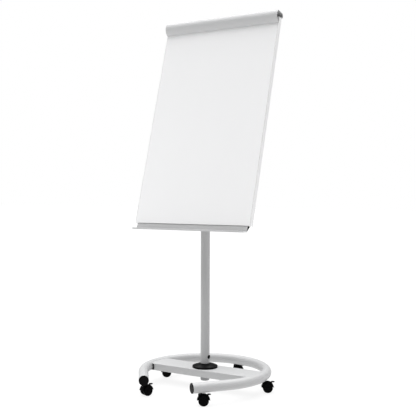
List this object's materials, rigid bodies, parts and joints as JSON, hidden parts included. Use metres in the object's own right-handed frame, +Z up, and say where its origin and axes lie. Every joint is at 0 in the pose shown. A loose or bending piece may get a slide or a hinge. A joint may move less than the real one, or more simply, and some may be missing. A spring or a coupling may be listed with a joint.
{
  "type": "flipchart easel",
  "caption": "Mobile flipchart easel: tilting whiteboard with a sprung paper clamp and pen tray on a height-adjustable column, horseshoe tube base and braked castors.",
  "frame": {"origin": "on the column's axis at floor level, which is the middle of the base", "axes": "+Z up along the column, the board faces -Y, +X to the right of a person who reads the board"},
  "size_m": [0.6968, 0.712, 1.9251],
  "materials": {
    "base_paint": "light grey powder coat, fine texture, satin",
    "column_paint": "silver-grey powder coat, satin",
    "socket_steel": "grey powder coat over welded steel",
    "black_plastic": "moulded black plastic, satin",
    "castor_plastic": "moulded black nylon, fine grain",
    "wheel_plastic": "moulded black nylon tread",
    "zinc_steel": "bright zinc plated steel",
    "chrome_rod": "hard chromed and polished",
    "black_steel": "black painted steel",
    "dark_bracket": "dark grey powder coat",
    "board_enamel": "glossy white dry-wipe lacquer on steel",
    "hardboard": "pale grey faced hardboard, matt",
    "white_profile": "white extruded edge profile, smooth",
    "channel_steel": "light grey powder coat",
    "silver_aluminium": "satin silver anodised extrusion"
  },
  "bodies": {
    "base": {"base_ring": "base_paint", "ring_end_caps": "black_plastic", "crossbar": "base_paint", "castor_sockets": "socket_steel", "castor_stems": "black_steel", "column_foot": "socket_steel", "column_collar": "black_plastic", "column_tube": "column_paint", "column_plug": "black_plastic", "guide_bush": "black_plastic", "gas_spring_cylinder": "black_steel"},
    "sliding_column": {"gas_spring_rod": "chrome_rod", "inner_tube": "column_paint", "head_block": "dark_bracket"},
    "release_pin": {"release_pin": "zinc_steel"},
    "lever": {"release_lever": "zinc_steel", "lever_grip": "black_plastic"},
    "board": {"tilt_bolt": "zinc_steel", "tilt_bracket": "channel_steel", "back_channels": "channel_steel", "board_screws": "zinc_steel", "whiteboard_sheet": "board_enamel", "backing_board": "hardboard", "side_profile_left": "white_profile", "side_profile_right": "white_profile", "cross_profiles": "white_profile", "pen_tray": "silver_aluminium", "hook_track": "silver_aluminium", "hinge_brackets": "zinc_steel", "hinge_rod": "zinc_steel", "clamp_springs": "zinc_steel"},
    "tilt_knob": {"tilt_knob": "black_plastic"},
    "clamp": {"clamp_rail": "silver_aluminium"},
    "hook_left": {"paper_hook_left": "black_plastic"},
    "hook_right": {"paper_hook_right": "black_plastic"},
    "castor_front_left": {"castor_front_left_housing": "castor_plastic", "castor_front_left_axle": "zinc_steel"},
    "castor_front_left_wheel_left": {"castor_front_left_wheel_left": "wheel_plastic"},
    "castor_front_left_wheel_right": {"castor_front_left_wheel_right": "wheel_plastic"},
    "castor_front_left_brake": {"castor_front_left_brake_pedal": "castor_plastic"},
    "castor_front_right": {"castor_front_right_housing": "castor_plastic", "castor_front_right_axle": "zinc_steel"},
    "castor_front_right_wheel_left": {"castor_front_right_wheel_left": "wheel_plastic"},
    "castor_front_right_wheel_right": {"castor_front_right_wheel_right": "wheel_plastic"},
    "castor_front_right_brake": {"castor_front_right_brake_pedal": "castor_plastic"},
    "castor_left": {"castor_left_housing": "castor_plastic", "castor_left_axle": "zinc_steel"},
    "castor_left_wheel_left": {"castor_left_wheel_left": "wheel_plastic"},
    "castor_left_wheel_right": {"castor_left_wheel_right": "wheel_plastic"},
    "castor_left_brake": {"castor_left_brake_pedal": "castor_plastic"},
    "castor_right": {"castor_right_housing": "castor_plastic", "castor_right_axle": "zinc_steel"},
    "castor_right_wheel_left": {"castor_right_wheel_left": "wheel_plastic"},
    "castor_right_wheel_right": {"castor_right_wheel_right": "wheel_plastic"},
    "castor_right_brake": {"castor_right_brake_pedal": "castor_plastic"},
    "castor_back": {"castor_back_housing": "castor_plastic", "castor_back_axle": "zinc_steel"},
    "castor_back_wheel_left": {"castor_back_wheel_left": "wheel_plastic"},
    "castor_back_wheel_right": {"castor_back_wheel_right": "wheel_plastic"},
    "castor_back_brake": {"castor_back_brake_pedal": "castor_plastic"}
  },
  "joints": [
    {"name": "height_slide", "type": "slide", "parent": "base", "child": "sliding_column", "axis": [0, 0, 1], "range_m": [-0.085, 0.165]},
    {"name": "lever_lift", "type": "hinge", "parent": "sliding_column", "child": "lever", "pos_m": [0.019, 0, 1.097], "axis": [0, -1, 0], "range_deg": [0, 9], "stiffness_Nm_per_rad": 8, "springref_deg": -5.16},
    {"name": "release_pin_slide", "type": "slide", "parent": "sliding_column", "child": "release_pin", "axis": [0, 0, -1], "range_m": [0, 0.0033]},
    {"name": "board_tilt", "type": "hinge", "parent": "sliding_column", "child": "board", "pos_m": [0, 0, 1.134], "axis": [-1, 0, 0], "range_deg": [-16, 14]},
    {"name": "tilt_knob_turn", "type": "hinge", "parent": "board", "child": "tilt_knob", "pos_m": [-0.04, 0, 1.134], "axis": [-1, 0, 0], "range_deg": [0, 170]},
    {"name": "clamp_open", "type": "hinge", "parent": "board", "child": "clamp", "pos_m": [0, 0.18812, 1.89405], "axis": [-1, 0, 0], "range_deg": [0, 40], "stiffness_Nm_per_rad": 1.5, "springref_deg": -20.05},
    {"name": "hook_left_slide", "type": "slide", "parent": "board", "child": "hook_left", "axis": [1, 0, 0], "range_m": [-0.015, 0.13]},
    {"name": "hook_right_slide", "type": "slide", "parent": "board", "child": "hook_right", "axis": [-1, 0, 0], "range_m": [-0.015, 0.13]},
    {"name": "castor_front_left_swivel", "type": "hinge", "parent": "base", "child": "castor_front_left", "pos_m": [-0.1646, -0.3072, 0], "axis": [0, 0, 1], "continuous": true},
    {"name": "castor_front_left_wheel_left_spin", "type": "hinge", "parent": "castor_front_left", "child": "castor_front_left_wheel_left", "pos_m": [-0.15861, -0.29236, 0.025], "axis": [-0.9272, 0.3746, 0], "continuous": true},
    {"name": "castor_front_left_wheel_right_spin", "type": "hinge", "parent": "castor_front_left", "child": "castor_front_left_wheel_right", "pos_m": [-0.15861, -0.29236, 0.025], "axis": [-0.9272, 0.3746, 0], "continuous": true},
    {"name": "castor_front_left_brake", "type": "hinge", "parent": "castor_front_left", "child": "castor_front_left_brake", "pos_m": [-0.15411, -0.28124, 0.044], "axis": [-0.9272, 0.3746, 0], "range_deg": [0, 14]},
    {"name": "castor_front_right_swivel", "type": "hinge", "parent": "base", "child": "castor_front_right", "pos_m": [0.1646, -0.3072, 0], "axis": [0, 0, 1], "continuous": true},
    {"name": "castor_front_right_wheel_left_spin", "type": "hinge", "parent": "castor_front_right", "child": "castor_front_right_wheel_left", "pos_m": [0.17802, -0.29849, 0.025], "axis": [-0.5446, 0.8387, 0], "continuous": true},
    {"name": "castor_front_right_wheel_right_spin", "type": "hinge", "parent": "castor_front_right", "child": "castor_front_right_wheel_right", "pos_m": [0.17802, -0.29849, 0.025], "axis": [-0.5446, 0.8387, 0], "continuous": true},
    {"name": "castor_front_right_brake", "type": "hinge", "parent": "castor_front_right", "child": "castor_front_right_brake", "pos_m": [0.18808, -0.29195, 0.044], "axis": [-0.5446, 0.8387, 0], "range_deg": [0, 14]},
    {"name": "castor_left_swivel", "type": "hinge", "parent": "base", "child": "castor_left", "pos_m": [-0.3079, 0.07108, 0], "axis": [0, 0, 1], "continuous": true},
    {"name": "castor_left_wheel_left_spin", "type": "hinge", "parent": "castor_left", "child": "castor_left_wheel_left", "pos_m": [-0.29448, 0.0798, 0.025], "axis": [-0.5446, 0.8387, 0], "continuous": true},
    {"name": "castor_left_wheel_right_spin", "type": "hinge", "parent": "castor_left", "child": "castor_left_wheel_right", "pos_m": [-0.29448, 0.0798, 0.025], "axis": [-0.5446, 0.8387, 0], "continuous": true},
    {"name": "castor_left_brake", "type": "hinge", "parent": "castor_left", "child": "castor_left_brake", "pos_m": [-0.28442, 0.08633, 0.044], "axis": [-0.5446, 0.8387, 0], "range_deg": [0, 14]},
    {"name": "castor_right_swivel", "type": "hinge", "parent": "base", "child": "castor_right", "pos_m": [0.3079, 0.07108, 0], "axis": [0, 0, 1], "continuous": true},
    {"name": "castor_right_wheel_left_spin", "type": "hinge", "parent": "castor_right", "child": "castor_right_wheel_left", "pos_m": [0.32132, 0.0798, 0.025], "axis": [-0.5446, 0.8387, 0], "continuous": true},
    {"name": "castor_right_wheel_right_spin", "type": "hinge", "parent": "castor_right", "child": "castor_right_wheel_right", "pos_m": [0.32132, 0.0798, 0.025], "axis": [-0.5446, 0.8387, 0], "continuous": true},
    {"name": "castor_right_brake", "type": "hinge", "parent": "castor_right", "child": "castor_right_brake", "pos_m": [0.33138, 0.08633, 0.044], "axis": [-0.5446, 0.8387, 0], "range_deg": [0, 14]},
    {"name": "castor_back_swivel", "type": "hinge", "parent": "base", "child": "castor_back", "pos_m": [0, 0.316, 0], "axis": [0, 0, 1], "continuous": true},
    {"name": "castor_back_wheel_left_spin", "type": "hinge", "parent": "castor_back", "child": "castor_back_wheel_left", "pos_m": [0.01342, 0.32471, 0.025], "axis": [-0.5446, 0.8387, 0], "continuous": true},
    {"name": "castor_back_wheel_right_spin", "type": "hinge", "parent": "castor_back", "child": "castor_back_wheel_right", "pos_m": [0.01342, 0.32471, 0.025], "axis": [-0.5446, 0.8387, 0], "continuous": true},
    {"name": "castor_back_brake", "type": "hinge", "parent": "castor_back", "child": "castor_back_brake", "pos_m": [0.02348, 0.33125, 0.044], "axis": [-0.5446, 0.8387, 0], "range_deg": [0, 14]}
  ],
  "couplings": [
    {"joint": "release_pin_slide", "follows": "lever_lift", "m_per_rad": 0.0205}
  ]
}
